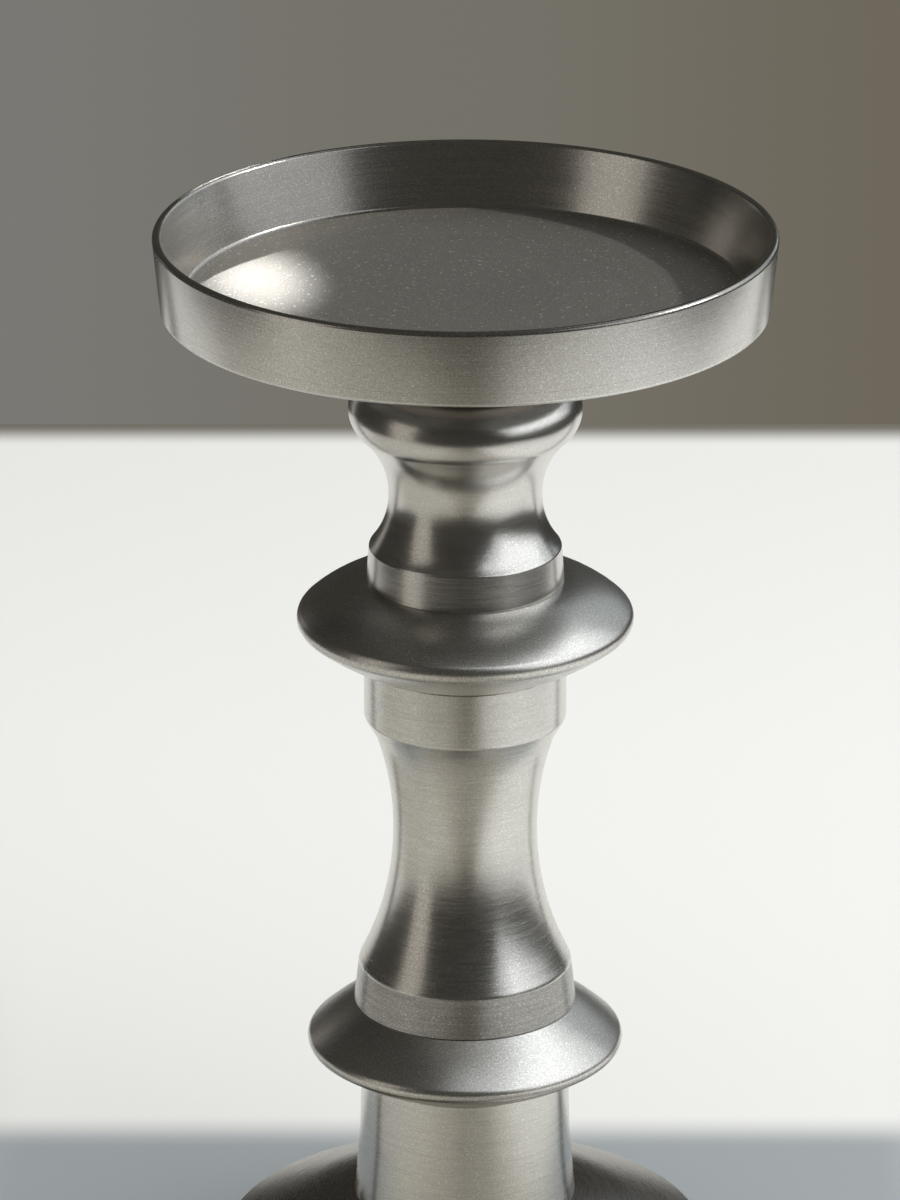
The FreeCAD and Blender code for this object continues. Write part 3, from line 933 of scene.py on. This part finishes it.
# %% [markdown]
# A lamp for metal is a bright shape to be mirrored, so each one is an Area light with a size, a
# distance and a bearing. The bearing counts from straight behind the object, clockwise from
# above. Its radiance is how bright the lamp looks in a mirror: the power is worked out from
# that and the area, so a lamp can be widened and still look as bright. Light linking lets a
# lamp reach only some pieces, as a flag on a stand would.

# %% Helpers for lamps
AIM_LEVEL = 0.12


def lamp_at(name, bearing, height, distance, size, radiance, colour, aim=AIM_LEVEL):
    """A flat lamp, its height given as an angle, turned to face the axis at the aim's level."""
    light = bpy.data.lights.new(name, "AREA")
    light.shape = "RECTANGLE"
    light.size, light.size_y = size
    light.energy = radiance * math.pi * size[0] * size[1]
    light.color = colour
    lamp = bpy.data.objects.new(name, light)
    bpy.context.scene.collection.objects.link(lamp)
    turn, rise = math.radians(bearing), math.radians(height)
    flat = distance * math.cos(rise)
    lamp.location = (flat * math.sin(turn), flat * math.cos(turn), aim + distance * math.sin(rise))
    lamp.rotation_euler = (math.pi / 2 - rise, 0, math.pi - turn)
    lamp.visible_camera = False
    print(name, "at", [round(v, 3) for v in lamp.location])
    return lamp


def lights_only(lamp, pieces):
    """Let a lamp reach only these pieces."""
    lit = bpy.data.collections.new(lamp.name + "_lights")
    for piece in pieces:
        lit.objects.link(piece)
    lamp.light_linking.receiver_collection = lit
    print(lamp.name, "reaches", len(pieces), "meshes")


# %% [markdown]
# A broad panel overhead lights the floor at the level where white renders white. It is hidden
# from the metal, so that the tops stay dark. Everything else is seen in the metal: a cool
# window on the right, with a brighter pane in it and sky above it, gives the round pieces
# their highlight, and a second one stands further back and leaves the floor alone. A warm
# screen and a strip on the left give the pale lines that show how polished the pieces are.

# %% The lamps for the floor and the stem
panel = lamp_at("panel", bearing=0, height=90, distance=1.6, size=(3.2, 3.2),
                radiance=1.30, colour=(1.0, 0.99, 0.985))
panel.visible_glossy = False
window = lamp_at("window", bearing=98, height=34, distance=0.8, size=(1.45, 0.90),
                 radiance=0.80, colour=(0.94, 0.98, 1.0))
pane = lamp_at("pane", bearing=100, height=32, distance=0.75, size=(0.80, 0.55),
               radiance=0.62, colour=(0.95, 0.98, 1.0))
skylight = lamp_at("skylight", bearing=106, height=70, distance=0.9, size=(1.10, 0.66),
                   radiance=0.75, colour=(0.93, 0.97, 1.0))
window_side = lamp_at("window_side", bearing=39, height=34, distance=0.8, size=(0.50, 0.80),
                      radiance=0.48, colour=(0.86, 0.94, 1.0))
lamp_at("screen", bearing=-117, height=10, distance=0.8, size=(0.37, 0.87),
        radiance=0.45, colour=(1.0, 0.94, 0.85))
lamp_at("strip", bearing=-40, height=0, distance=0.8, size=(0.11, 0.42),
        radiance=0.45, colour=(1.0, 0.96, 0.90))

meshes = [o for o in bpy.context.scene.objects if o.type == "MESH"]
others = [o for o in meshes if o != dish]
lights_only(window_side, [o for o in meshes if o.name != "floor"])
lights_only(window, others)
lights_only(pane, others)
lights_only(skylight, others)

# %% [markdown]
# The dish has lamps of its own: a softer window, and a low sun that casts the crisp shadow of
# the wall on the floor. The sun is a small square lamp, because the size of a lamp sets how
# soft the edge of its shadow is.

# %% The lamps for the dish
DISH_AIM_LEVEL = 0.185

dish_window = lamp_at("dish_window", bearing=92, height=34, distance=0.8, size=(1.10, 0.80),
                      radiance=0.38, colour=(0.96, 0.98, 1.0))
dish_sun = lamp_at("dish_sun", bearing=82, height=34, distance=1.2, size=(0.04, 0.04),
                   radiance=860.0, colour=(1.0, 0.93, 0.82), aim=DISH_AIM_LEVEL)
lights_only(dish_window, [dish])
lights_only(dish_sun, [dish])

# %% [markdown]
# The bright inside of the dish wall throws a soft patch of light on the floor, at the left. Path
# tracing finds such light slowly and with much noise, so a narrow spot draws it instead.

# %% The patch of light on the dish floor
SPOT_RADIUS = 0.004


def spot_at(name, place, target, cone, power, colour):
    """A narrow spot with a soft edge, aimed from one place at another."""
    light = bpy.data.lights.new(name, "SPOT")
    light.energy = power
    light.color = colour
    light.spot_size = math.radians(cone)
    light.spot_blend = 1
    light.shadow_soft_size = SPOT_RADIUS
    lamp = bpy.data.objects.new(name, light)
    bpy.context.scene.collection.objects.link(lamp)
    lamp.location = place
    aim = Vector(target) - Vector(place)
    lamp.rotation_euler = aim.to_track_quat("-Z", "Y").to_euler()
    print(name, "at", place)
    return lamp


thrown_light = spot_at("thrown_light", place=(-0.085, 0.53, 0.52),
                       target=(-0.0350, 0.0062, 0.183), cone=2.05, power=8.0,
                       colour=(1.0, 0.99, 0.96))
lights_only(thrown_light, [dish])

# %% [markdown]
# Where silver is photographed, black cards stand beside a piece to draw a thin dark line just
# inside its outline. Two narrow cards behind the object do that here, and two low ones beside
# the foot do it for the column. Only reflections see them, so they throw no shadow and never
# show in the picture.

# %% The black cards
CARD_BLACK = (0.02, 0.02, 0.02, 1)
CARD_ROUGHNESS = 0.9


def black_card(name, bearing, distance, width, height):
    turn = math.radians(bearing)
    place = (distance * math.sin(turn), distance * math.cos(turn), height / 2)
    bpy.ops.object.select_all(action="DESELECT")
    bpy.ops.mesh.primitive_plane_add(size=1, location=place, rotation=(math.pi / 2, 0, -turn))
    card = bpy.context.object
    card.name = name
    card.scale = (width, height, 1)
    material = bpy.data.materials.new(name)
    material.use_nodes = True
    shader = material.node_tree.nodes["Principled BSDF"]
    shader.inputs["Base Color"].default_value = CARD_BLACK
    shader.inputs["Roughness"].default_value = CARD_ROUGHNESS
    card.data.materials.append(material)
    card.visible_camera = False
    card.visible_diffuse = False
    card.visible_shadow = False
    print(name, "at", [round(v, 3) for v in place])


black_card("card_left", bearing=-56, distance=0.13, width=0.016, height=0.26)
black_card("card_right", bearing=56, distance=0.13, width=0.012, height=0.26)
black_card("card_low_left", bearing=-85, distance=0.058, width=0.005, height=0.035)
black_card("card_low_right", bearing=66, distance=0.056, width=0.007, height=0.035)

# %% [markdown]
# The photograph was taken with a long lens, a little above the dish: its ellipses have nearly
# the same shape from top to bottom. The lens, the pitch and the place come from fitting a
# camera to the widths and heights of those ellipses. The Standard view transform shows the
# tones as they were worked out, with no film curve over them.

# %% The camera
CAMERA_LENS = 218.74
CAMERA_PITCH = 20.95
CAMERA_PLACE = (-0.0026, -1.16, 0.5723)


def make_camera():
    data = bpy.data.cameras.new("camera")
    data.lens = CAMERA_LENS
    camera = bpy.data.objects.new("camera", data)
    bpy.context.scene.collection.objects.link(camera)
    camera.location = CAMERA_PLACE
    camera.rotation_euler = (math.radians(90 - CAMERA_PITCH), 0, 0)
    bpy.context.scene.camera = camera
    print("camera at", CAMERA_PLACE, "lens", CAMERA_LENS)


make_camera()
bpy.context.scene.view_settings.view_transform = "Standard"
